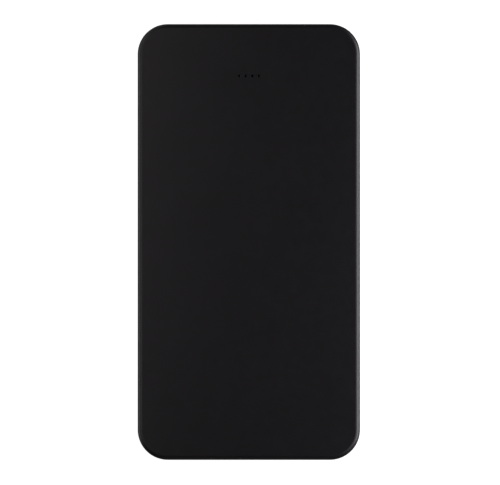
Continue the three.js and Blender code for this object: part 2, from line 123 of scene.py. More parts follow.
def skin(rings):
    """A closed solid over rings of points, capped at both ends."""
    mesh = bmesh.new()
    rings = [[mesh.verts.new(point) for point in ring] for ring in rings]
    for low, high in zip(rings, rings[1:]):
        for i in range(len(low)):
            mesh.faces.new((low[i - 1], low[i], high[i], high[i - 1]))
    mesh.faces.new(rings[0][::-1])
    mesh.faces.new(rings[-1])
    bmesh.ops.remove_doubles(mesh, verts=mesh.verts, dist=1e-7)
    bmesh.ops.dissolve_degenerate(mesh, edges=mesh.edges, dist=1e-8)
    bmesh.ops.recalc_face_normals(mesh, faces=mesh.faces)
    return mesh


def loft(profile, outline_at, place=Matrix.Identity(4)):
    """A solid through outline_at's points at each (inset, height) of profile."""
    return skin([[place @ Vector((x, y, z)) for x, y in outline_at(inset)] for inset, z in profile])


def rounding(size, top, steps):
    """(inset, height) along a rounded top edge, from the flat face to the wall."""
    angles = [math.radians(90 - 90 * i / steps) for i in range(steps + 1)]
    return [(size * (1 - math.cos(a)), top - size * (1 - math.sin(a))) for a in angles]


def slab(half_x, half_y, radius, low, high, edge, place=Matrix.Identity(4), steps=4, arc_steps=6):
    """A rounded plate between two heights, with both its faces' edges rounded."""
    upper = rounding(edge, high, steps)
    lower = [(inset, low + high - height) for inset, height in reversed(upper)]
    return loft(upper + lower, inset_outline(half_x, half_y, radius, arc_steps), place)


def turned(points, steps=32, place=Matrix.Identity(4)):
    """A solid of revolution about local z, through (radius, height) points that don't touch the axis."""
    angles = np.linspace(0, 2 * math.pi, steps, endpoint=False)
    circle = np.stack([np.cos(angles), np.sin(angles)], 1)
    return loft([(radius, height) for radius, height in points], lambda radius: circle * radius, place)


def bent(points, reach):
    """A path of (y, z) points with each corner rounded, from reach before it to reach after it."""
    points = [Vector(point) for point in points]
    path = [points[0]]
    for before, corner, after in zip(points, points[1:], points[2:]):
        start = corner + (before - corner).normalized() * reach
        end = corner + (after - corner).normalized() * reach
        path += [start.lerp(corner, t).lerp(corner.lerp(end, t), t) for t in (0, 0.25, 0.5, 0.75, 1)]
    return path + [points[-1]]


def sweep(path, section, place=Matrix.Identity(4)):
    """A solid that carries a section, points (x, off the path), along a path of (y, z) points."""
    path = np.array([tuple(point) for point in path])
    ahead = np.gradient(path, axis=0)
    off = np.stack([-ahead[:, 1], ahead[:, 0]], 1) / np.linalg.norm(ahead, axis=1)[:, None]
    return skin([[place @ Vector((x, y + s * oy, z + s * oz)) for x, s in section]
                 for (y, z), (oy, oz) in zip(path, off)])


def strip(path, width, thick, place=Matrix.Identity(4)):
    """A flat metal strip along a path."""
    return sweep(path, outline(width / 2, thick / 2, thick / 4, 1), place)


def bar(corner, opposite, edge=0.0, place=Matrix.Identity(4)):
    """A box between two opposite corners, with its edges bevelled by edge."""
    spans = [sorted(ends) for ends in zip(corner, opposite)]
    mesh = bmesh.new()
    bmesh.ops.create_cube(mesh, size=1)
    for vertex in mesh.verts:
        vertex.co = [high if along > 0 else low for (low, high), along in zip(spans, vertex.co)]
    if edge:
        bmesh.ops.bevel(mesh, geom=mesh.edges, offset=edge, segments=2, profile=0.5, affect="EDGES")
    mesh.transform(place)
    return mesh


def made(name, *parts):
    """One object from (bmesh, material) parts."""
    data = bpy.data.meshes.new(name)
    whole = bmesh.new()
    for part, material in parts:
        if material.name not in data.materials:
            data.materials.append(material)
        index = data.materials.find(material.name)
        for face in part.faces:
            face.material_index = index
        loose = bpy.data.meshes.new("part")
        part.to_mesh(loose)
        part.free()
        whole.from_mesh(loose)
        bpy.data.meshes.remove(loose)
    whole.to_mesh(data)
    whole.free()
    piece = bpy.data.objects.new(name, data)
    bpy.context.scene.collection.objects.link(piece)
    return piece


def apply_modifiers(piece):
    """The piece's mesh becomes what its modifiers make of it."""
    evaluated = piece.evaluated_get(bpy.context.evaluated_depsgraph_get())
    flat = bpy.data.meshes.new_from_object(evaluated)
    piece.modifiers.clear()
    old, piece.data = piece.data, flat
    bpy.data.meshes.remove(old)


def combine(piece, operation, *solids):
    """Cuts solids out of piece, or joins them to it."""
    material = piece.data.materials[0]
    for solid in solids:
        other = made("tool", (solid, material))
        modifier = piece.modifiers.new(operation, "BOOLEAN")
        modifier.operation = operation
        modifier.solver = "EXACT"
        modifier.object = other
        apply_modifiers(piece)
        bpy.data.objects.remove(other)
    return piece


def merged(piece, other):
    """Both objects' meshes and materials in the first one."""
    slots = piece.data.materials
    mesh = bmesh.new()
    mesh.from_mesh(other.data)
    for face in mesh.faces:
        material = other.data.materials[face.material_index]
        if material.name not in slots:
            slots.append(material)
        face.material_index = slots.find(material.name)
    mesh.from_mesh(piece.data)
    mesh.to_mesh(piece.data)
    mesh.free()
    bpy.data.objects.remove(other)
    return piece


def smooth(piece, angle=32):
    """Smooth shading with sharp edges past angle, and flat faces that stay flat next to their bevels."""
    piece.data.polygons.foreach_set("use_smooth", [True] * len(piece.data.polygons))
    piece.data.set_sharp_from_angle(angle=math.radians(angle))
    modifier = piece.modifiers.new("flat_faces", "WEIGHTED_NORMAL")
    modifier.keep_sharp = True
    modifier.weight = 100
    return piece


def stand_in(piece, node, angle=32):
    """The finished piece rides and shows in place of its CAD node."""
    smooth(piece, angle)
    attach(piece, NODE_BODY[node])
    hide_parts(node)
    return piece


# ---------------------------------------------------------------- material tools


class Finish:
    """A procedural material: nodes are added by kind, with numbers or other nodes' sockets as inputs."""

    def __init__(self, name):
        self.material = bpy.data.materials.new(name)
        self.material.use_nodes = True
        self.tree = self.material.node_tree
        self.shader = self.tree.nodes["Principled BSDF"]
        self.place = self.add("TexCoord").outputs["Object"]

    def add(self, kind, inputs=(), **settings):
        node = self.tree.nodes.new("ShaderNode" + kind)
        for key, value in settings.items():
            setattr(node, key, value)
        for key, value in dict(inputs).items():
            self.set(node, key, value)
        return node

    def set(self, node, key, value):
        if isinstance(value, bpy.types.NodeSocket):
            self.tree.links.new(value, node.inputs[key])
        else:
            node.inputs[key].default_value = value

    def noise(self, size, detail, stretch=(1, 1, 1)):
        """Noise from about 0.3 to 0.7, with features of that size in metres."""
        place = self.add("Mapping", {"Vector": self.place, "Scale": stretch}).outputs["Vector"]
        inputs = {"Vector": place, "Scale": 1 / size, "Detail": detail}
        return self.add("TexNoise", inputs).outputs["Fac"]

    def spread(self, factor, low, high, start=0.3, end=0.7):
        inputs = {"Value": factor, "From Min": start, "From Max": end, "To Min": low, "To Max": high}
        return self.add("MapRange", inputs).outputs["Result"]

    def tones(self, factor, *colours):
        """A blend through colours, spread evenly over the factor's middle range."""
        ramp = self.add("ValToRGB", {"Fac": factor})
        stops = ramp.color_ramp.elements
        for i, colour in enumerate(colours):
            position = 0.3 + 0.4 * i / (len(colours) - 1)
            stop = stops[i] if i < 2 else stops.new(position)
            stop.position = position
            stop.color = (*colour, 1)
        return ramp.outputs["Color"]

    def mix(self, factor, first, second):
        """first where factor is 0 and second where it is 1."""
        mixed = self.add("Mix", data_type="RGBA")
        for index, value in ((0, factor), (6, first), (7, second)):
            self.set(mixed, index, (*value, 1) if isinstance(value, tuple) else value)
        return mixed.outputs[2]

    def relief(self, height, depth, under=None):
        inputs = {"Height": height, "Distance": depth, "Strength": 1.0}
        if under is not None:
            inputs["Normal"] = under
        return self.add("Bump", inputs).outputs["Normal"]

    def done(self, **sockets):
        for key, value in sockets.items():
            self.set(self.shader, key.replace("_", " "), value)
        return self.material


def shades(colour, amount):
    """A colour a little darker and a little lighter."""
    return [tuple(channel * (1 + sign * amount) for channel in colour) for sign in (-1, 1)]


def moulded(name, colour, roughness, grain=0.11 * MM, depth=1.2e-6, drift=0.08, **constants):
    """Moulded plastic: fine grain in relief, roughness that varies over it and a colour that drifts."""
    finish = Finish(name)
    colours = finish.tones(finish.noise(9 * MM, 4), *shades(colour, drift))
    rough = finish.spread(finish.noise(1.6 * MM, 5), roughness - 0.04, roughness + 0.04)
    normal = finish.relief(finish.noise(grain, 3), depth)
    return finish.done(Base_Color=colours, Roughness=rough, Normal=normal, **constants)


def metal(name, colour, roughness, stretch=(1, 1, 1), grain=0.08 * MM, depth=0.8e-6):
    """Rolled or plated metal: dull patches, and fine lines along the axis that has a small stretch."""
    finish = Finish(name)
    colours = finish.tones(finish.noise(2.5 * MM, 4), *shades(colour, 0.07))
    rough = finish.spread(finish.noise(0.7 * MM, 4, stretch), roughness - 0.06, roughness + 0.1)
    normal = finish.relief(finish.noise(grain, 2, stretch), depth)
    return finish.done(Base_Color=colours, Roughness=rough, Normal=normal, Metallic=1.0)


# ---------------------------------------------------------------- materials


def case_plastic():
    """Black moulding with a fine spark-eroded grain over a slight ripple, and a sheen that drifts."""
    finish = Finish("case_plastic")
    darker, lighter = (0.0076, 0.0070, 0.0079), (0.0088, 0.0082, 0.0092)
    colours = finish.tones(finish.noise(16 * MM, 3), darker, lighter)
    fine = finish.noise(0.12 * MM, 3)
    coarse = finish.noise(0.45 * MM, 2)
    rough = finish.spread(finish.noise(2.2 * MM, 5), 0.345, 0.38)
    normal = finish.relief(fine, 9e-6, under=finish.relief(coarse, 4e-6))
    return finish.done(Base_Color=colours, Roughness=rough, Normal=normal)


def circuit_laminate():
    """Green solder mask over etched tracks, on a laminate whose cut edges are pale."""
    finish = Finish("circuit_laminate")
    tracks = []
    for turn in (0.0, math.pi / 2):
        in_mm = {"Vector": finish.place, "Rotation": (0.0, 0.0, turn), "Scale": (1 / MM, 1 / MM, 0.0)}
        place = finish.add("Mapping", in_mm).outputs["Vector"]
        grid = {"Scale": 0.55, "Mortar Size": 0.012, "Brick Width": 1.3, "Row Height": 0.24}
        tracks.append(finish.add("TexBrick", {"Vector": place, **grid}).outputs["Fac"])
    copper = finish.add("Math", dict(enumerate(tracks)), operation="MAXIMUM").outputs["Value"]
    mask = finish.mix(copper, (0.008, 0.060, 0.026), (0.018, 0.120, 0.048))
    mask = finish.mix(finish.spread(finish.noise(3 * MM, 3), 0, 0.35), mask, (0.006, 0.044, 0.020))
    facing = finish.add("SeparateXYZ", {0: finish.add("NewGeometry").outputs["Normal"]}).outputs["Z"]
    level = finish.add("Math", {0: facing}, operation="ABSOLUTE").outputs["Value"]
    colours = finish.mix(finish.spread(level, 0, 1, 0.5, 0.7), (0.36, 0.30, 0.15), mask)
    rough = finish.spread(finish.noise(0.5 * MM, 3), 0.22, 0.4)
    normal = finish.relief(copper, 1.5e-5, under=finish.relief(finish.noise(0.3 * MM, 2), 2e-6))
    return finish.done(Base_Color=colours, Roughness=rough, Normal=normal)


def pouch_foil():
    """Aluminium laminate, a little crinkled, with a satin nylon skin."""
    finish = Finish("pouch_foil")
    colours = finish.tones(finish.noise(12 * MM, 3), (0.50, 0.51, 0.53), (0.64, 0.65, 0.66))
    crinkle = finish.noise(5 * MM, 6, (1, 0.45, 1))
    normal = finish.relief(finish.noise(0.2 * MM, 2), 1.5e-6, under=finish.relief(crinkle, 1.3e-4))
    rough = finish.spread(finish.noise(1.5 * MM, 4), 0.26, 0.4)
    return finish.done(Base_Color=colours, Roughness=rough, Normal=normal, Metallic=0.85)


def foam_skin():
    """Closed-cell foam with fine pores, whose hollows are painted darker as painted shade."""
    finish = Finish("foam")
    cell_size = 0.35 * MM
    cells = finish.add("TexVoronoi", {"Vector": finish.place, "Scale": 1 / cell_size}).outputs["Distance"]
    # The colour in each cell's middle is painted shade in the pore's hollow; the cell walls round it keep
    # the lighter foam colour.
    pore_shade, wall = (0.012, 0.012, 0.013), (0.045, 0.045, 0.047)
    colours = finish.mix(finish.spread(cells, 0, 1, 0.1, 0.7), pore_shade, wall)
    rough = finish.spread(finish.noise(1 * MM, 3), 0.85, 1.0)
    return finish.done(Base_Color=colours, Roughness=rough, Normal=finish.relief(cells, 6e-5))


def ferrite():
    """Pressed grey ferrite powder."""
    finish = Finish("ferrite")
    specks = finish.noise(0.12 * MM, 5)
    colours = finish.tones(specks, (0.025, 0.025, 0.028), (0.055, 0.055, 0.058), (0.10, 0.10, 0.10))
    rough = finish.spread(finish.noise(0.5 * MM, 3), 0.55, 0.8)
    return finish.done(Base_Color=colours, Roughness=rough, Normal=finish.relief(specks, 1.2e-5))


CASE = case_plastic()
BUTTON = moulded("button_plastic", (0.0115, 0.0112, 0.0118), 0.34, grain=0.2 * MM, depth=0.8e-6)
BLACK = moulded("black_plastic", (0.014, 0.014, 0.015), 0.5, depth=2e-6)
EPOXY = moulded("black_epoxy", (0.012, 0.012, 0.012), 0.38, grain=0.06 * MM, depth=1.5e-6)
WHITE = moulded("white_plastic", (0.78, 0.77, 0.72), 0.42, depth=1.5e-6, drift=0.03)
CERAMIC = moulded("capacitor_ceramic", (0.34, 0.22, 0.12), 0.5, depth=3e-6)
TAPE = moulded("adhesive", (0.74, 0.70, 0.62), 0.7, grain=0.3 * MM, depth=8e-6, drift=0.05)
POLYIMIDE = moulded("polyimide_tape", (0.55, 0.24, 0.03), 0.25, grain=0.8 * MM, depth=6e-6)
STEEL = metal("steel", (0.60, 0.60, 0.61), 0.26, stretch=(1, 0.06, 1))
TIN = metal("tinned_leads", (0.66, 0.66, 0.64), 0.36, grain=0.15 * MM, depth=2e-6)
GOLD = metal("contact_gold", (0.85, 0.60, 0.24), 0.24)
NICKEL = metal("tab_nickel", (0.62, 0.60, 0.56), 0.3, stretch=(0.08, 1, 1))
BOARD = circuit_laminate()
FOIL = pouch_foil()
FOAM = foam_skin()
FERRITE = ferrite()
SMOKED = moulded("smoked_plastic", (0.05, 0.05, 0.053), 0.3, depth=1e-6, drift=0.05,
                 Transmission_Weight=0.5, IOR=1.49)
PHOSPHOR = moulded("light_phosphor", (0.80, 0.72, 0.30), 0.35, drift=0.04)

# ---------------------------------------------------------------- covers


def case_outline(inset):
    """The outline of the case, moved in by inset."""
    return outline(HALF_X - inset, HALF_Y - inset, CORNER - inset)


def flared(half_x, half_y, radius, flare, place, reach=3 * MM):
    """A cutter for an opening whose outer edge is rounded: local z runs into the wall from its face."""
    bend = np.radians(range(0, 91, 15))
    rim = [(flare * (math.sin(a) - 1), flare * (1 - math.cos(a))) for a in bend]
    profile = [(-flare, -reach)] + rim + [(0, reach)]
    return loft(profile, inset_outline(half_x, half_y, radius, 8), place)


def shell_section(node):
    """Half the width and half the height of a socket's shell, without its legs."""
    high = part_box(node)[1]
    return half_size(node).x, high.z - AXIS_Z


def wall_cutters():
    """The openings in the walls round the sockets and the button."""
    gap, flare = 0.25 * MM, 0.3 * MM
    cutters = []
    for node in ("usb_a_left_shell", "usb_a_right_shell", "usb_c_shell"):
        half_x, half_z = shell_section(node)
        place = Matrix.Translation((centre(node).x, HALF_Y, AXIS_Z)) @ INTO_END
        radius = half_z + gap if node == "usb_c_shell" else 0.6 * MM
        cutters.append(flared(half_x + gap, half_z + gap, radius, flare, place))
    button_y, slip = centre("power_button").y, 0.2 * MM
    half_long, half_high = BUTTON_LENGTH / 2 + slip, BUTTON_HEIGHT / 2 + slip
    place = Matrix.Translation((HALF_X, button_y, AXIS_Z)) @ OUT_OF_SIDE @ Matrix.Rotation(math.pi, 4, "X")
    cutters.append(flared(half_long, half_high, half_high, 0.22 * MM, place))
    return cutters


def light_places():
    """The middles of the four charge lights."""
    return [centre(f"charge_light_{i + 1}") for i in range(4)]


def hollow_corner(flat, up):
    """(inset, height) from the inner wall round to a plate's inside, which is at the height flat.
    The hollow lies above that where up is 1, and below it where up is -1."""
    radius, bend = 0.4 * MM, np.radians(range(0, 91, 30))
    return [(WALL + radius * (1 - math.cos(a)), flat + up * radius * (1 - math.sin(a))) for a in bend]


def front_cover():
    """The front half: face, rebate for the back cover's lip, ribs on the sockets and four pin holes."""
    rebate, step = 0.75 * MM, LIP_TOP + 0.2 * MM
    profile = rounding(EDGE, HEIGHT, EDGE_STEPS)
    profile += [(0, FRONT_RIM + SEAM_BEVEL), (SEAM_BEVEL, FRONT_RIM), (rebate, FRONT_RIM)]
    profile += [(rebate, step), (WALL, step)] + hollow_corner(HEIGHT - PLATE, -1)
    cover = made("front_cover_shell", (loft(profile, case_outline), CASE))
    ribs = []
    near, far, root = 57.5 * MM, 58.7 * MM, HEIGHT - PLATE / 2
    for side in SIDES:
        shell = f"usb_a_{side}_shell"
        left, right = centre(shell).x - 6 * MM, centre(shell).x + 6 * MM
        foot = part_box(shell)[1].z + 0.1 * MM
        ribs.append(bar((left, near, foot), (right, far, root), FINE_EDGE))
    combine(cover, "UNION", *ribs)
    guide = centre("light_guide")
    place = Matrix.Translation((guide.x, guide.y, HEIGHT - PLATE))
    pocket = slab(4.8 * MM, 1.7 * MM, 0.5 * MM, -1 * MM, 0.7 * MM, FINE_EDGE, place)
    cutters = wall_cutters() + [pocket]
    for light in light_places():
        place = Matrix.Translation((light.x, light.y, HEIGHT)) @ Matrix.Rotation(math.pi, 4, "X")
        cutters.append(flared(PIN_HOLE, PIN_HOLE, PIN_HOLE, 0.04 * MM, place, reach=2 * MM))
    combine(cover, "DIFFERENCE", *cutters)
    return stand_in(cover, "front_cover")


def back_cover():
    """The back half: lip, a rib under the board, ribs beside the cells and two screw bosses."""
    lip, round_lip = 0.95 * MM, 0.1 * MM
    profile = [(inset, HEIGHT - height) for inset, height in rounding(EDGE, HEIGHT, EDGE_STEPS)]
    profile += [(0, BACK_RIM - SEAM_BEVEL), (SEAM_BEVEL, BACK_RIM), (lip, BACK_RIM)]
    profile += [(lip, LIP_TOP - round_lip), (lip + round_lip, LIP_TOP)]
    profile += [(WALL - round_lip, LIP_TOP), (WALL, LIP_TOP - round_lip)] + hollow_corner(PLATE, 1)
    cover = made("back_cover_shell", (loft(profile, case_outline), CASE))
    board_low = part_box("circuit_board")[0]
    foot, seat, board_end = PLATE / 2, board_low.z - 0.05 * MM, board_low.y
    ribs = [bar((-28 * MM, board_end + 0.4 * MM, foot), (28 * MM, board_end + 1.4 * MM, seat), FINE_EDGE)]
    cell_side, wall_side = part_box("cell_lower")[1].x + 0.2 * MM, HALF_X - WALL / 2
    half_thick, top = 0.6 * MM, BACK_RIM - 1.5 * MM
    for y in (-50 * MM, -20 * MM, 10 * MM, 35 * MM):
        for side in (-1, 1):
            start, end = (side * cell_side, y - half_thick, foot), (side * wall_side, y + half_thick, top)
            ribs.append(bar(start, end, FINE_EDGE))
    bosses, pilots = [], []
    boss, chamfer, pilot = 2.3 * MM, 0.1 * MM, 1.05 * MM
    for side in SIDES:
        screw = centre(f"board_screw_{side}")
        place = Matrix.Translation((screw.x, screw.y, 0))
        bosses.append(turned([(boss, foot), (boss, seat - chamfer), (boss - chamfer, seat)], 40, place))
        pilots.append(turned([(pilot, PLATE - 0.7 * MM), (pilot, 4 * MM)], 32, place))
    combine(cover, "UNION", *ribs, *bosses)
    combine(cover, "DIFFERENCE", *wall_cutters(), *pilots)
    return stand_in(cover, "back_cover")


# ---------------------------------------------------------------- button and switch


def power_button():
    """A cap with a rounded edge and a shallow dish, on the flange that holds it in."""
    low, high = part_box("power_button")
    place = Matrix.Translation((0, centre("power_button").y, AXIS_Z)) @ OUT_OF_SIDE
    cap_top, flange_top = high.x, low.x + 0.8 * MM
    rim, reach, dip = 0.3 * MM, 0.9 * MM, 0.1 * MM
    dish = [(rim + reach * t, cap_top - dip * math.sin(t * math.pi / 2)) for t in (1, 0.75, 0.5, 0.25)]
    profile = dish + rounding(rim, cap_top, 5) + [(0, flange_top - 0.2 * MM)]
    cap = loft(profile, inset_outline(BUTTON_LENGTH / 2, BUTTON_HEIGHT / 2, BUTTON_HEIGHT / 2, 10), place)
    half_y, half_z = half_size("power_button").yz
    flange = slab(half_y, half_z, 0.8 * MM, low.x, flange_top, 0.12 * MM, place)
    button = made("power_button_cap", (cap, BUTTON))
    combine(button, "UNION", flange)
    return stand_in(button, "power_button")


def switch_body():
    """A moulded box behind a steel plate, which is folded back over both ends and staked at its corners."""
    low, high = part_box("switch_body")
    tip_low, tip_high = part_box("switch_plunger")
    middle, half_y = centre("switch_body"), half_size("switch_body").y
    plate_back, plate_front = high.x - 0.4 * MM, high.x - 0.15 * MM
    slip, leaf = 0.15 * MM, 0.2 * MM

    def well():
        start = (high.x - 1.4 * MM, tip_low.y - slip, tip_low.z - slip)
        return bar(start, (high.x, tip_high.y + slip, tip_high.z + slip))

    start, end = (low.x, low.y + leaf, low.z + leaf), (plate_back, high.y - leaf, high.z - leaf)
    box = made("switch_body_box", (bar(start, end, 0.12 * MM), BLACK))
    combine(box, "DIFFERENCE", well())
    start = (plate_back, low.y + 0.05 * MM, low.z + 0.3 * MM)
    end = (plate_front, high.y - 0.05 * MM, high.z)
    plate = made("switch_body_plate", (bar(start, end, 0.06 * MM), STEEL))
    combine(plate, "DIFFERENCE", well())
    fittings = []
    head = [(0.4 * MM, plate_front - 0.02 * MM), (0.4 * MM, plate_front + 0.05 * MM), (0.22 * MM, high.x)]
    for side in (-1, 1):
        start = (low.x + 0.9 * MM, middle.y + side * half_y, middle.z - 1.3 * MM)
        end = (plate_back + 0.05 * MM, middle.y + side * (half_y - leaf), middle.z + 1.3 * MM)
        fittings.append((bar(start, end, FINE_EDGE), STEEL))
        for x in (low.x + 0.7 * MM, low.x + 2.4 * MM):
            start = (x, middle.y + side * 1.9 * MM, low.z)
            end = (x + 0.3 * MM, middle.y + side * 2.6 * MM, low.z + 0.4 * MM)
            fittings.append((bar(start, end, 0.04 * MM), TIN))
        for up in (-1, 1):
            corner = Matrix.Translation((0, middle.y + side * 2.3 * MM, middle.z + up * 1.65 * MM))
            fittings.append((turned(head, 20, corner @ OUT_OF_SIDE), BLACK))
    whole = merged(merged(box, plate), made("switch_body_fittings", *fittings))
    return stand_in(whole, "switch_body")


# ---------------------------------------------------------------- sockets

LEG_DEPTHS = {"usb_a": (4 * MM, 11 * MM), "usb_c": (3 * MM, 6 * MM)}  # solder legs, from the mouth


def mouth(node):
    """A socket's local axes, from the middle of its mouth: x across, y up and z inwards."""
    return Matrix.Translation((centre(node).x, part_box(node)[1].y, AXIS_Z)) @ INTO_END


def socket_shell(node, radius):
    """A folded steel can with a rounded lip and a closed rear, and four solder legs."""
    low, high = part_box(node)
    half_x, half_z = shell_section(node)
    place, depth = mouth(node), high.y - low.y
    half_turn = np.radians(range(0, 181, 30))
    lip = [(SHEET / 2 * (1 - math.cos(a)), SHEET / 2 * (1 - math.sin(a))) for a in half_turn]
    profile = rounding(0.25 * MM, depth, 3) + lip + [(SHEET, depth - SHEET)]
    shell = made(node + "_can", (loft(profile, inset_outline(half_x, half_z, radius, 8), place), STEEL))
    legs, half_width = [], 0.8 * MM
    for side in (-1, 1):
        for leg in LEG_DEPTHS[node[:5]]:
            start = (side * half_x, low.z - AXIS_Z, leg - half_width)
            end = (side * (half_x - SHEET), 0, leg + half_width)
            legs.append(bar(start, end, FINE_EDGE, place))
    return combine(shell, "UNION", *legs)


def usb_a_shell(node):
    """The can with two springy fingers in its top and two in its floor, each in its own window."""
    shell = socket_shell(node, 0.6 * MM)
    half_z = shell_section(node)[1]
    rest, half_window = half_z - SHEET / 2, 1.1 * MM
    windows, fingers = [], []
    for x in (-3 * MM, 3 * MM):
        place = mouth(node) @ Matrix.Translation((x, 0, 0))
        for up in (-1, 1):
            inner, outer = up * (half_z - 2 * SHEET), up * (half_z + SHEET)
            windows.append(bar((-half_window, inner, 2 * MM), (half_window, outer, 8.4 * MM), 0, place))
            flat, crest, tip = up * rest, up * (rest - 0.4 * MM), up * (rest - 0.12 * MM)
            line = [(flat, 1.8 * MM), (flat, 2.6 * MM), (crest, 5.9 * MM), (tip, 7.7 * MM)]
            fingers.append((strip(bent(line, 0.5 * MM), 1.6 * MM, 0.22 * MM, place), STEEL))
    combine(shell, "DIFFERENCE", *windows)
    return stand_in(merged(shell, made(node + "_fingers", *fingers)), node)


def usb_a_insulator(node):
    """The block that fills the rear of the can, and the tongue with its tapered tip."""
    low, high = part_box(node)
    shell_node = node.replace("insulator", "shell")
    place, mouth_y = mouth(shell_node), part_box(shell_node)[1].y
    half_x, half_z = half_size(node).xz
    rear = bar((-half_x, -half_z, 9.5 * MM), (half_x, half_z, mouth_y - low.y), 0.1 * MM, place)
    tip = mouth_y - high.y
    profile = [(0.45 * MM, tip), (0.3 * MM, tip + 0.08 * MM), (0.05 * MM, tip + 0.6 * MM)]
    profile += [(0, tip + 0.8 * MM), (0, 10 * MM)]
    section = inset_outline(5.55 * MM, 0.92 * MM, 0.15 * MM, 3)
    tongue = loft(profile, section, place @ Matrix.Translation((0, 0.95 * MM, 0)))
    block = made(node + "_block", (rear, WHITE))
    combine(block, "UNION", tongue)
    return stand_in(block, node)


def usb_a_contact(node):
    """A gold strip along the underside of the tongue, which bows away from it to a crest near its tip."""
    side = node.split("_")[2]
    shell_node = f"usb_a_{side}_shell"
    low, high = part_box(node)
    tip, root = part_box(shell_node)[1].y - high.y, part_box(shell_node)[1].y - low.y
    flat, crest, arch = high.z - AXIS_Z - 0.1 * MM, 0.35 * MM, 2.6 * MM
    path = [(flat, root)]
    for along in np.linspace(0, 1, 17):
        rise = crest * math.sin(math.pi * along) ** 2
        path.append((flat - rise, tip + arch * (1 - along)))
    place = mouth(shell_node) @ Matrix.Translation((centre(node).x - centre(shell_node).x, 0, 0))
    piece = made(node + "_spring", (strip(path, 1.0 * MM, 0.19 * MM, place), GOLD))
    return stand_in(piece, node, angle=40)


def usb_c_insulator(node):
    """The rear plug of the can, and the thin tongue with a thicker root."""
    low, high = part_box(node)
    place = mouth("usb_c_shell")
    mouth_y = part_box("usb_c_shell")[1].y
    half_x, half_z = half_size(node).xz
    plug = loft([(0.1 * MM, 5 * MM), (0, 5.1 * MM), (0, mouth_y - low.y)],
                inset_outline(half_x, half_z, half_z, 8), place)
    tip = mouth_y - high.y
    tongue = loft([(0.22 * MM, tip), (0.12 * MM, tip + 0.05 * MM), (0, tip + 0.4 * MM), (0, 5.2 * MM)],
                  inset_outline(3.345 * MM, HALF_TONGUE_C, 0.12 * MM, 3), place)
    root = bar((-3.45 * MM, -0.55 * MM, 4.3 * MM), (3.45 * MM, 0.55 * MM, 5.2 * MM), 0.08 * MM, place)
    piece = made(node + "_tongue", (plug, BLACK))
    combine(piece, "UNION", tongue, root)
    return stand_in(piece, node)


def usb_c_contacts():
    """Twelve gold strips on each side of the tongue; those for power and ground reach further forward."""
    place = mouth("usb_c_shell")
    pitch, half_width, end = 0.5 * MM, 0.12 * MM, 4.3 * MM
    strips = []
    for i in range(12):
        x = (i - 5.5) * pitch
        start = 1.45 * MM if i in (0, 3, 8, 11) else 1.85 * MM
        for side in (-1, 1):
            inner, outer = side * (HALF_TONGUE_C - 0.02 * MM), side * (HALF_TONGUE_C + 0.018 * MM)
            contact = bar((x - half_width, inner, start), (x + half_width, outer, end), 0, place)
            strips.append((contact, GOLD))
    piece = smooth(made("usb_c_contacts", *strips))
    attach(piece, NODE_BODY["usb_c_insulator"])


def sockets():
    """Two USB-A sockets and a USB-C socket between them."""
    for side in SIDES:
        usb_a_shell(f"usb_a_{side}_shell")
        usb_a_insulator(f"usb_a_{side}_insulator")
        for i in range(4):
            usb_a_contact(f"usb_a_{side}_contact_{i + 1}")
    shell = socket_shell("usb_c_shell", shell_section("usb_c_shell")[1])
    stand_in(shell, "usb_c_shell")
    usb_c_insulator("usb_c_insulator")
    usb_c_contacts()


# ---------------------------------------------------------------- board


def at_foot(node):
    """Local axes on the board under a component."""
    middle = centre(node)
    return Matrix.Translation((middle.x, middle.y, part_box(node)[0].z))


def chip(node, legs):
    """A moulded package with a row of gull-wing legs down each long side and a dimple at the first."""
    reach, half_y, half_z = half_size(node)
    half_x, tall, thick = reach - 0.6 * MM, 2 * half_z, 0.18 * MM
    place = at_foot(node)
    package = slab(half_x, half_y, 0.15 * MM, 0.1 * MM, tall, 0.14 * MM, place, 2, 2)
    body = made(node + "_package", (package, EPOXY))
    corner = Matrix.Translation((-half_x + 0.55 * MM, half_y - 0.55 * MM, 0))
    dimple = turned([(0.26 * MM, tall - 0.06 * MM), (0.3 * MM, tall + 0.2 * MM)], 20, place @ corner)
    combine(body, "DIFFERENCE", dimple)
    pitch, root, foot = 2 * half_y / legs, 0.45 * tall, thick / 2
    line = [(half_x - 0.1 * MM, root), (half_x + 0.18 * MM, root), (half_x + 0.3 * MM, foot), (reach, foot)]
    rows = []
    for side in (-1, 1):
        turn = Matrix.Rotation(-side * math.pi / 2, 4, "Z")
        for i in range(legs):
            along = (i + 0.5) * pitch - half_y
            shift = Matrix.Translation((0, along, 0)) @ turn
            rows.append((strip(bent(line, 0.06 * MM), 0.4 * pitch, thick, place @ shift), TIN))
    return stand_in(merged(body, made(node + "_legs", *rows)), node)


def end_capped(half_x, half_y, tall, cap, body_material, place):
    """A chip component with a body and two tinned ends along local y."""
    low, high = 0.03 * MM, 0.97 * tall
    body = slab(0.95 * half_x, half_y - 0.02 * MM, 0.05 * MM, low, high, 0.05 * MM, place, 2, 1)
    parts = [(body, body_material)]
    for side in (-1, 1):
        shift = Matrix.Translation((0, side * (half_y - cap / 2), 0))
        parts.append((slab(half_x, cap / 2, 0.08 * MM, 0, tall, 0.07 * MM, place @ shift, 3, 2), TIN))
    return parts


def capacitor(node):
    """A ceramic chip capacitor."""
    size = half_size(node)
    piece = made(node + "_chip", *end_capped(size.x, size.y, 2 * size.z, 0.5 * MM, CERAMIC, at_foot(node)))
    return stand_in(piece, node)


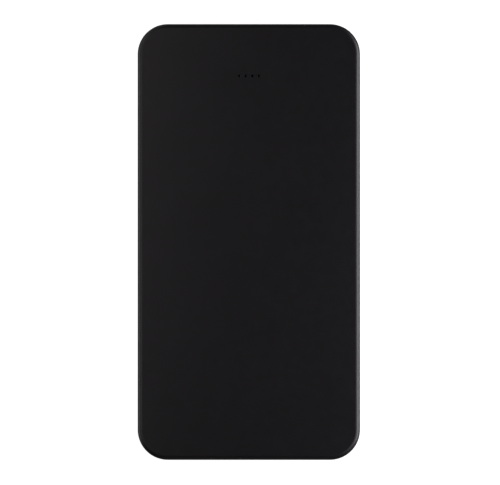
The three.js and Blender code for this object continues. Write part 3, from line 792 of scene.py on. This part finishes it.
def inductor(node):
    """A square ferrite frame round a drum core, with the gap between them filled, and two terminals."""
    size = half_size(node)
    half, tall = size.x, 2 * size.z
    place = at_foot(node)
    frame_block = slab(half, half, 1 * MM, 0.15 * MM, tall, 0.2 * MM, place, 3, 6)
    core = made(node + "_core", (frame_block, FERRITE))
    hole, filled, drum_radius, sunk = 2.85 * MM, 2.86 * MM, 2.5 * MM, tall - 1 * MM
    combine(core, "DIFFERENCE", turned([(hole, tall - 0.9 * MM), (hole, tall + 1 * MM)], 64, place))
    filling = turned([(filled, sunk), (filled, tall - 0.45 * MM)], 64, place)
    drum_edge = [(drum_radius, tall - 0.22 * MM), (drum_radius - 0.08 * MM, tall - 0.12 * MM)]
    drum = turned([(drum_radius, sunk)] + drum_edge, 64, place)
    parts = [(filling, EPOXY), (drum, FERRITE)]
    for side in (-1, 1):
        start, end = (-1.5 * MM, side * (size.y - 0.9 * MM), 0), (1.5 * MM, side * size.y, 0.6 * MM)
        parts.append((bar(start, end, 0.06 * MM, place), TIN))
    return stand_in(merged(core, made(node + "_parts", *parts)), node)


def charge_light(node):
    """A small side-capped diode: a white base, a yellow phosphor lens and two tinned ends."""
    half_x, half_y, half_z = half_size(node)
    place, half_cap = at_foot(node), 0.14 * MM
    parts = [(slab(0.38 * MM, 0.72 * MM, 0.03 * MM, 0.02 * MM, 0.24 * MM, 0.02 * MM, place, 1, 1), WHITE),
             (slab(0.37 * MM, 0.5 * MM, 0.06 * MM, 0.2 * MM, 2 * half_z, 0.08 * MM, place, 3, 3), PHOSPHOR)]
    for side in (-1, 1):
        end = place @ Matrix.Translation((0, side * (half_y - half_cap), 0))
        parts.append((slab(half_x, half_cap, 0.04 * MM, 0, 0.26 * MM, 0.03 * MM, end, 2, 1), TIN))
    return stand_in(made(node + "_diode", *parts), node)


def light_guide():
    """Four columns from the lights, one flange in the cover's pocket and a domed pin up each hole."""
    low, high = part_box("light_guide")
    flange_high, pin_top = HEIGHT - 1 * MM, high.z - 0.3 * MM
    flange_low = flange_high - 0.7 * MM
    place = Matrix.Translation((*centre("light_guide").xy, 0))
    half_x, half_y = half_size("light_guide").xy
    flange = slab(half_x, half_y, 0.4 * MM, flange_low, flange_high, 0.06 * MM, place, 2, 4)
    guide = made("light_guide_moulding", (flange, SMOKED))
    overlap, rise = 0.1 * MM, np.radians(range(0, 81, 20))
    dome = [(PIN * math.cos(a), pin_top - PIN * (1 - math.sin(a))) for a in rise]
    joined = []
    for light in light_places():
        place = Matrix.Translation((light.x, light.y, 0))
        top = flange_low + overlap
        joined.append(slab(0.45 * MM, 0.8 * MM, 0.1 * MM, low.z, top, 0.03 * MM, place, 1, 2))
        joined.append(turned([(PIN, flange_high - overlap)] + dome, 20, place))
    combine(guide, "UNION", *joined)
    return stand_in(guide, "light_guide")


def board_screw(node):
    """A pan head with a cross recess on a shank with a rolled thread."""
    low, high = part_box(node)
    place = Matrix.Translation((*centre(node).xy, 0))
    seat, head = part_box("circuit_board")[1].z + 0.05 * MM, 1.9 * MM
    profile = [(0.35 * MM, low.z), (0.6 * MM, low.z + 0.3 * MM)]
    pitch, thread, crest, root = 0.4 * MM, low.z + 0.5 * MM, 0.95 * MM, 0.76 * MM
    while thread < seat - pitch:
        profile += [(crest, thread), (root, thread + 0.6 * pitch)]
        thread += pitch
    profile += [(root, seat - 0.02 * MM), (head - 0.04 * MM, seat), (head, seat + 0.06 * MM)]
    profile += [(head, seat + 0.45 * MM), (1.82 * MM, seat + 0.68 * MM), (1.6 * MM, seat + 0.88 * MM)]
    profile += [(1.2 * MM, seat + 1.06 * MM), (0.6 * MM, high.z)]
    screw = made(node + "_turned", (turned(profile, 40, place), STEEL))
    arm, half_slot = 1.05 * MM, 0.2 * MM
    cross = [bar((-x, -y, seat + 0.5 * MM), (x, y, high.z + 1 * MM), 0, place)
             for x, y in ((arm, half_slot), (half_slot, arm))]
    combine(screw, "DIFFERENCE", *cross)
    return stand_in(screw, node)


def thermistor():
    """A dipped bead with two sleeved leads that come down to the board."""
    low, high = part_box("thermistor")
    middle_x, bead_z, board_z = centre("thermistor").x, high.z - 1 * MM, low.z + 0.22 * MM
    bead = bmesh.new()
    bmesh.ops.create_uvsphere(bead, u_segments=24, v_segments=16, radius=1 * MM)
    place = Matrix.Translation((middle_x, low.y + 1.4 * MM, bead_z))
    bead.transform(place @ Matrix.Diagonal((1, 1.4, 1, 1)))
    parts = [(bead, EPOXY)]
    line = [(low.y + 2 * MM, bead_z), (low.y + 3.6 * MM, bead_z - 0.15 * MM),
            (low.y + 4.9 * MM, board_z + 0.1 * MM), (high.y, board_z)]
    ring = np.linspace(0, 2 * math.pi, 12, endpoint=False)
    section = [(0.21 * MM * math.cos(a), 0.21 * MM * math.sin(a)) for a in ring]
    for x in (middle_x - 0.35 * MM, middle_x + 0.35 * MM):
        parts.append((sweep(bent(line, 0.5 * MM), section, Matrix.Translation((x, 0, 0))), BLACK))
    return stand_in(made("thermistor_bead", *parts), "thermistor")


def small_parts():
    """Resistors and capacitors in the free strips of the board, with body colours that alternate."""
    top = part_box("controller_chip")[0].z
    row_x, row_y, row_pitch = 9.8 * MM, 50.95 * MM, 1.7 * MM
    column_x, column_y, column_pitch = 5.25 * MM, 60 * MM, 1.9 * MM
    places = [(side * (row_x + row_pitch * i), row_y, i) for side in (-1, 1) for i in range(7)]
    places += [(side * column_x, column_y + column_pitch * i, i + 1) for side in (-1, 1) for i in range(3)]
    parts = []
    for x, y, i in places:
        place = Matrix.Translation((x, y, top))
        parts += end_capped(0.4 * MM, 0.8 * MM, 0.5 * MM, 0.3 * MM, CERAMIC if i % 2 else EPOXY, place)
    piece = smooth(made("board_small_parts", *parts))
    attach(piece, NODE_BODY["circuit_board"])


def board():
    """Everything that stands on the circuit board apart from the sockets and the switch."""
    chip("controller_chip", 6)
    for side in SIDES:
        chip(f"power_transistor_{side}", 4)
        capacitor(f"output_capacitor_{side}")
        capacitor(f"input_capacitor_{side}")
        board_screw(f"board_screw_{side}")
    inductor("power_inductor")
    for i in range(4):
        charge_light(f"charge_light_{i + 1}")
    light_guide()
    thermistor()
    small_parts()


# ---------------------------------------------------------------- cells and padding


def pouch_cell(node):
    """A drawn pouch with soft edges, folded side seams, a sealed terrace and a band of polyimide tape."""
    low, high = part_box(node)
    film, terrace = 0.03 * MM, 4 * MM
    body_end = high.y - terrace
    half_y = (body_end - low.y) / 2
    place = Matrix.Translation((0, low.y + half_y, 0))
    pouch = slab(high.x - 0.3 * MM, half_y, 1.6 * MM, low.z + film, high.z - film, 1.1 * MM, place, 6, 6)
    middle_z = centre(node).z
    place = Matrix.Translation((0, body_end, 0))
    seal_low, seal_high = middle_z - 0.2 * MM, middle_z + 0.2 * MM
    seal = slab(high.x - 1 * MM, terrace, 0.3 * MM, seal_low, seal_high, 0.1 * MM, place, 2, 2)
    parts = [(pouch, FOIL), (seal, FOIL)]
    for side in (-1, 1):
        start = (side * high.x, low.y + 2.5 * MM, low.z + 0.6 * MM)
        end = (side * (high.x - 0.28 * MM), body_end - 2.5 * MM, high.z - 0.6 * MM)
        parts.append((bar(start, end, 0.12 * MM), FOIL))
    place = Matrix.Translation((0, body_end - 3.4 * MM, 0))
    band = slab(high.x - 1.5 * MM, 2.2 * MM, 0.2 * MM, low.z, high.z, 1.1 * MM, place, 6, 2)
    parts.append((band, POLYIMIDE))
    return stand_in(made(node + "_pouch", *parts), node)


def foam_pad(node):
    """A die-cut pad whose cut edges are slightly pinched."""
    low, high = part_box(node)
    size, place = half_size(node), Matrix.Translation((0, centre(node).y, 0))
    pad = slab(size.x, size.y, 1 * MM, low.z, high.z, 0.2 * MM, place, 4, 6)
    piece = made(node + "_sheet", (pad, FOAM))
    stand_in(piece, node, angle=60)


def cells():
    """The two cells, and the pads behind and in front of them."""
    for node in ("cell_lower", "cell_upper"):
        pouch_cell(node)
    for node in ("foam_pad_back", "foam_pad_front"):
        foam_pad(node)


# ---------------------------------------------------------------- CAD nodes that keep their shape


def dress(node, material):
    """A CAD node whose shape is right keeps it, with softened edges and its finish."""
    piece = frame["nodes"][node]
    piece.data.materials.clear()
    piece.data.materials.append(material)
    weld = piece.modifiers.new("weld", "WELD")
    weld.merge_threshold = 1e-6
    edge = piece.modifiers.new("soft_edges", "BEVEL")
    edge.width = FINE_EDGE
    edge.segments = 2
    edge.limit_method = "ANGLE"
    edge.angle_limit = math.radians(40)
    normals = piece.modifiers.new("flat_faces", "WEIGHTED_NORMAL")
    normals.weight = 100


KEPT = {
    "switch_plunger": BLACK, "circuit_board": BOARD, "light_shield": BLACK, "usb_c_riser": BLACK,
    "cell_bonding_tape": TAPE, "tab_lower_negative": NICKEL, "tab_lower_positive": NICKEL,
    "tab_upper_negative": NICKEL, "tab_upper_positive": NICKEL,
}

front_cover()
back_cover()
power_button()
switch_body()
sockets()
board()
cells()
for node, material in KEPT.items():
    dress(node, material)

# ---------------------------------------------------------------- stage, lights and camera


WARM = (1.03, 0.965, 0.99)
COOL = (1.0, 0.96, 1.03)


def backdrop():
    """White behind everything, for the camera; a dim even light from all round, for the object."""
    world = bpy.data.worlds.new("studio")
    world.use_nodes = True
    tree = world.node_tree
    dim = tree.nodes["Background"]
    dim.inputs["Color"].default_value = (1, 1, 1, 1)
    dim.inputs["Strength"].default_value = 0.02
    white = tree.nodes.new("ShaderNodeBackground")
    white.inputs["Color"].default_value = (0.955, 0.955, 0.955, 1)
    seen = tree.nodes.new("ShaderNodeMixShader")
    tree.links.new(tree.nodes.new("ShaderNodeLightPath").outputs["Is Camera Ray"], seen.inputs[0])
    tree.links.new(dim.outputs[0], seen.inputs[1])
    tree.links.new(white.outputs[0], seen.inputs[2])
    tree.links.new(seen.outputs[0], tree.nodes["World Output"].inputs["Surface"])
    bpy.context.scene.world = world


def stage():
    """A pale floor. What the camera sees of it is white with a faint contact shadow; the object sees a
    greyer one, so that its own rounded edges stay as dark as they are on a large dim table."""
    mesh = bmesh.new()
    bmesh.ops.create_grid(mesh, x_segments=1, y_segments=1, size=20)
    data = bpy.data.meshes.new("floor")
    mesh.to_mesh(data)
    mesh.free()
    floor = bpy.data.objects.new("floor", data)
    bpy.context.scene.collection.objects.link(floor)
    material = bpy.data.materials.new("floor")
    material.use_nodes = True
    tree = material.node_tree
    tree.nodes.clear()

    def add(kind, **inputs):
        node = tree.nodes.new("ShaderNode" + kind)
        for key, value in inputs.items():
            node.inputs[key.replace("_", " ")].default_value = value
        return node

    glow = add("Emission", Color=(1, 1, 1, 1), Strength=0.95)
    paper = add("BsdfDiffuse", Color=(0.5, 0.5, 0.5, 1))
    bright = add("AddShader")
    grey = add("BsdfDiffuse", Color=(0.30, 0.30, 0.30, 1))
    seen = add("MixShader")
    out = tree.nodes.new("ShaderNodeOutputMaterial")
    tree.links.new(glow.outputs[0], bright.inputs[0])
    tree.links.new(paper.outputs[0], bright.inputs[1])
    tree.links.new(add("LightPath").outputs["Is Camera Ray"], seen.inputs[0])
    tree.links.new(grey.outputs[0], seen.inputs[1])
    tree.links.new(bright.outputs[0], seen.inputs[2])
    tree.links.new(seen.outputs[0], out.inputs["Surface"])
    data.materials.append(material)


def panel(name, place, target, width, height, radiance, colour=(1, 1, 1)):
    """A soft rectangular light that faces target. Radiance is what a mirror would show of it."""
    light = bpy.data.lights.new(name, "AREA")
    light.shape = "RECTANGLE"
    light.size, light.size_y = width, height
    light.energy = radiance * math.pi * width * height
    light.color = colour
    lamp = bpy.data.objects.new(name, light)
    lamp.location = place
    lamp.rotation_euler = (Vector(target) - Vector(place)).to_track_quat("-Z", "Y").to_euler()
    lamp.visible_camera = False
    bpy.context.scene.collection.objects.link(lamp)


def far_panel(name, azimuth, elevation, width, height, radiance, colour=(1, 1, 1)):
    """A panel that faces the object, azimuth degrees round from +X and elevation degrees up."""
    distance, turn, rise = 0.6, math.radians(azimuth), math.radians(elevation)
    out = distance * math.cos(rise)
    place = (out * math.cos(turn), out * math.sin(turn), distance * math.sin(rise))
    panel(name, place, (0, 0, HEIGHT), width, height, radiance, colour)


def lights():
    """Long low boxes round the object, bright on its right, with small ones near the face."""
    far_panel("key_right_low", 0, 6.2, 0.58, 0.16, 5.3, COOL)
    far_panel("key_right_high", 0, 25, 0.58, 0.25, 4.7, COOL)
    far_panel("key_right_far", 38, 16.5, 0.24, 0.30, 1.0, COOL)
    far_panel("fill_left", 176, 9.7, 0.80, 0.20, 1.7)
    far_panel("fill_far", 122, 9.2, 0.48, 0.18, 0.8)
    far_panel("fill_near", 270, 8.8, 0.29, 0.17, 0.25)
    panel("edge_right", (0.10, -0.045, 0.108), (0.03, -0.045, HEIGHT), 0.21, 0.05, 1.5, COOL)
    panel("near_left", (-0.10, 0.03, 0.10), (-0.03, 0.03, HEIGHT), 0.22, 0.05, 0.73, WARM)
    panel("soft_left", (-0.08, 0.01, 0.22), (-0.03, 0, HEIGHT), 0.32, 0.05, 0.78, WARM)


def camera():
    """Straight down on the front face, from far enough away that the walls don't show."""
    frame_width = 152.8 * MM
    sensor, lens = 36.0, 400.0
    data = bpy.data.cameras.new("camera")
    data.sensor_width = sensor
    data.lens = lens
    data.shift_x = 0.0023
    data.shift_y = -0.0010
    data.clip_start, data.clip_end = 0.1, 30
    eye = bpy.data.objects.new("camera", data)
    eye.location = (0, 0, HEIGHT + frame_width * lens / sensor)
    bpy.context.scene.collection.objects.link(eye)
    bpy.context.scene.camera = eye


stage()
backdrop()
lights()
camera()
bpy.context.scene.view_settings.view_transform = "Standard"
